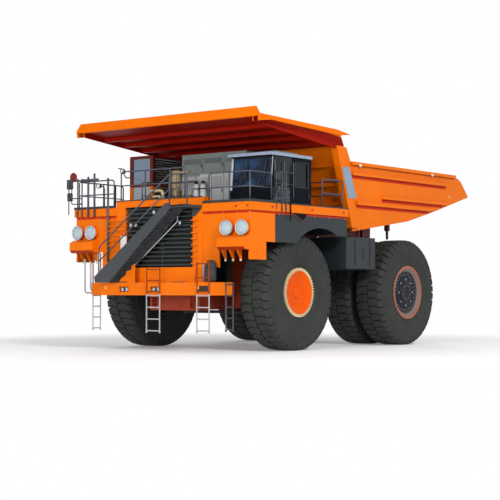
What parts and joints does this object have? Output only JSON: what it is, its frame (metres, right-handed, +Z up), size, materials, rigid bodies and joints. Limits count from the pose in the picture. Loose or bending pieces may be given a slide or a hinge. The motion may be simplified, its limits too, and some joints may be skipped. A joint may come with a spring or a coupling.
{
  "type": "mining dump truck",
  "caption": "Rigid two-axle mining dump truck with a tipping body and canopy, twin rear wheels, hollow cab, front stair, handrails, steering and hoist cylinders.",
  "frame": {"origin": "middle of the overall length and width, on the ground", "axes": "+X forward, +Y to the operator's left, +Z up"},
  "size_m": [13.8, 7.3, 7.09],
  "materials": {
    "frame_grey": "satin grey paint",
    "orange_paint": "gloss orange paint, dusty",
    "maroon_paint": "dark red primer",
    "worn_steel": "scuffed steel",
    "charcoal_paint": "satin charcoal paint",
    "pale_grey_paint": "satin pale grey paint",
    "tyre": "dusty rubber",
    "wheel_dark": "dark paint",
    "glass_blue": "tinted",
    "interior_plastic": "matte",
    "lamp": "clear lens",
    "rail_grey": "satin grey paint",
    "bright_rod": "polished"
  },
  "bodies": {
    "chassis": {"main_frame": "frame_grey", "suspension_struts": "frame_grey", "rear_axle": "frame_grey", "engine_block": "charcoal_paint", "fuel_tank": "charcoal_paint", "hydraulic_tank": "charcoal_paint", "bumper": "orange_paint", "radiator_core": "charcoal_paint", "grille": "charcoal_paint", "radiator_frame": "orange_paint", "deck_left": "orange_paint", "deck_right": "orange_paint", "deck_centre": "rail_grey", "deck_beams": "frame_grey", "fenders": "charcoal_paint", "cab_shell": "charcoal_paint", "cab_glass": "glass_blue", "cab_interior": "interior_plastic", "control_cabinet": "pale_grey_paint", "resistor_frame": "orange_paint", "resistor_panels": "pale_grey_paint", "accumulators": "pale_grey_paint", "air_cleaners": "charcoal_paint", "lamps": "lamp", "handrails": "rail_grey", "stair": "rail_grey", "ladders": "rail_grey", "mirrors": "rail_grey"},
    "cab_door": {"cab_door": "charcoal_paint", "door_glass": "glass_blue"},
    "dump_body": {"body_floor": "worn_steel", "body_side_left": "orange_paint", "body_side_right": "orange_paint", "body_headboard": "orange_paint", "body_canopy": "orange_paint", "body_rails": "maroon_paint", "rock_ejectors": "maroon_paint"},
    "knuckle_left": {"knuckle_left": "frame_grey"},
    "knuckle_right": {"knuckle_right": "frame_grey"},
    "tie_rod": {"tie_rod": "frame_grey"},
    "front_wheel_left": {"front_tyre_left": "tyre", "front_rim_left": "orange_paint"},
    "front_wheel_right": {"front_tyre_right": "tyre", "front_rim_right": "orange_paint"},
    "rear_wheels_left": {"rear_tyres_left": "tyre", "rear_rims_left": "wheel_dark"},
    "rear_wheels_right": {"rear_tyres_right": "tyre", "rear_rims_right": "wheel_dark"},
    "hoist_barrel_left": {"hoist_barrel_left": "frame_grey"},
    "hoist_stage_left": {"hoist_stage_left": "bright_rod"},
    "hoist_rod_left": {"hoist_rod_left": "bright_rod"},
    "hoist_barrel_right": {"hoist_barrel_right": "frame_grey"},
    "hoist_stage_right": {"hoist_stage_right": "bright_rod"},
    "hoist_rod_right": {"hoist_rod_right": "bright_rod"}
  },
  "joints": [
    {"name": "steer_left", "type": "hinge", "parent": "chassis", "child": "knuckle_left", "pos_m": [3.4, 1.95, 1.75], "axis": [0, 0, 1], "range_deg": [-30, 30]},
    {"name": "steer_right", "type": "hinge", "parent": "chassis", "child": "knuckle_right", "pos_m": [3.4, -1.95, 1.75], "axis": [0, 0, 1], "range_deg": [-30, 30]},
    {"name": "tie_rod_pivot", "type": "hinge", "parent": "knuckle_left", "child": "tie_rod", "pos_m": [2.65, 1.95, 1.13], "axis": [0, 0, 1], "range_deg": [-30, 30]},
    {"name": "front_wheel_left_spin", "type": "hinge", "parent": "knuckle_left", "child": "front_wheel_left", "pos_m": [3.4, 2.72, 1.75], "axis": [0, 1, 0], "continuous": true},
    {"name": "front_wheel_right_spin", "type": "hinge", "parent": "knuckle_right", "child": "front_wheel_right", "pos_m": [3.4, -2.72, 1.75], "axis": [0, 1, 0], "continuous": true},
    {"name": "rear_wheels_left_spin", "type": "hinge", "parent": "chassis", "child": "rear_wheels_left", "pos_m": [-2.43, 2.33, 1.75], "axis": [0, 1, 0], "continuous": true},
    {"name": "rear_wheels_right_spin", "type": "hinge", "parent": "chassis", "child": "rear_wheels_right", "pos_m": [-2.43, -2.33, 1.75], "axis": [0, 1, 0], "continuous": true},
    {"name": "body_tip", "type": "hinge", "parent": "chassis", "child": "dump_body", "pos_m": [-3.9, 0, 3], "axis": [0, -1, 0], "range_deg": [0, 45]},
    {"name": "cab_door_hinge", "type": "hinge", "parent": "chassis", "child": "cab_door", "pos_m": [3.88, 3.328, 5], "axis": [0, 0, -1], "range_deg": [0, 85]},
    {"name": "hoist_swing_left", "type": "hinge", "parent": "chassis", "child": "hoist_barrel_left", "pos_m": [-0.75, 0.965, 1.5], "axis": [0, -1, 0], "range_deg": [0, 19.36]},
    {"name": "hoist_stage_left", "type": "slide", "parent": "hoist_barrel_left", "child": "hoist_stage_left", "axis": [0.0225, 0, 0.9997], "range_m": [0, 1.1629]},
    {"name": "hoist_rod_left", "type": "slide", "parent": "hoist_stage_left", "child": "hoist_rod_left", "axis": [0.0225, 0, 0.9997], "range_m": [0, 1.1629]},
    {"name": "hoist_swing_right", "type": "hinge", "parent": "chassis", "child": "hoist_barrel_right", "pos_m": [-0.75, -0.965, 1.5], "axis": [0, -1, 0], "range_deg": [0, 19.36]},
    {"name": "hoist_stage_right", "type": "slide", "parent": "hoist_barrel_right", "child": "hoist_stage_right", "axis": [0.0225, 0, 0.9997], "range_m": [0, 1.1629]},
    {"name": "hoist_rod_right", "type": "slide", "parent": "hoist_stage_right", "child": "hoist_rod_right", "axis": [0.0225, 0, 0.9997], "range_m": [0, 1.1629]}
  ],
  "couplings": [
    {"joint": "steer_right", "follows": "steer_left", "ratio": 1},
    {"joint": "tie_rod_pivot", "follows": "steer_left", "ratio": -1},
    {"joint": "hoist_swing_left", "follows": "body_tip", "ratio": 0.42583},
    {"joint": "hoist_stage_left", "follows": "body_tip", "m_per_rad": 1.4755},
    {"joint": "hoist_rod_left", "follows": "body_tip", "m_per_rad": 1.4755},
    {"joint": "hoist_swing_right", "follows": "body_tip", "ratio": 0.42583},
    {"joint": "hoist_stage_right", "follows": "body_tip", "m_per_rad": 1.4755},
    {"joint": "hoist_rod_right", "follows": "body_tip", "m_per_rad": 1.4755}
  ]
}
